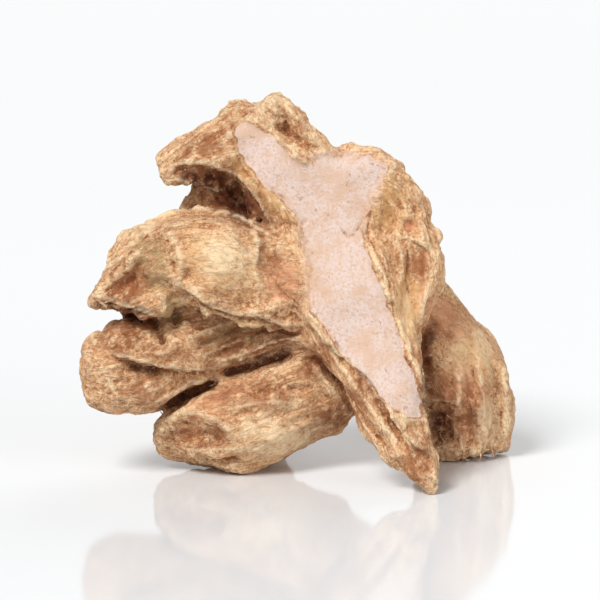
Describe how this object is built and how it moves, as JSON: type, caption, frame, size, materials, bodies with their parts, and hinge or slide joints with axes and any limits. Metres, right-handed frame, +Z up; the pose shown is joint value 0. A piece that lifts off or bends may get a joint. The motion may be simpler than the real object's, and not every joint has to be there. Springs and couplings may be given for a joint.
{
  "type": "dried ginger root",
  "caption": "Dried ginger rhizome: a branched hand of shrivelled fingers, scraped to pale flesh along its main finger, standing on its finger ends.",
  "frame": {"origin": "on the surface the root stands on, under the middle of its bounding box", "axes": "+Z up; +X to the right and -Y towards a viewer who faces the scraped side"},
  "size_m": [0.0964, 0.0536, 0.0849],
  "materials": {
    "dried_skin": "matte wrinkled tan skin with pale scraped patches"
  },
  "bodies": {
    "root": {"ginger_root": "dried_skin"}
  },
  "joints": []
}
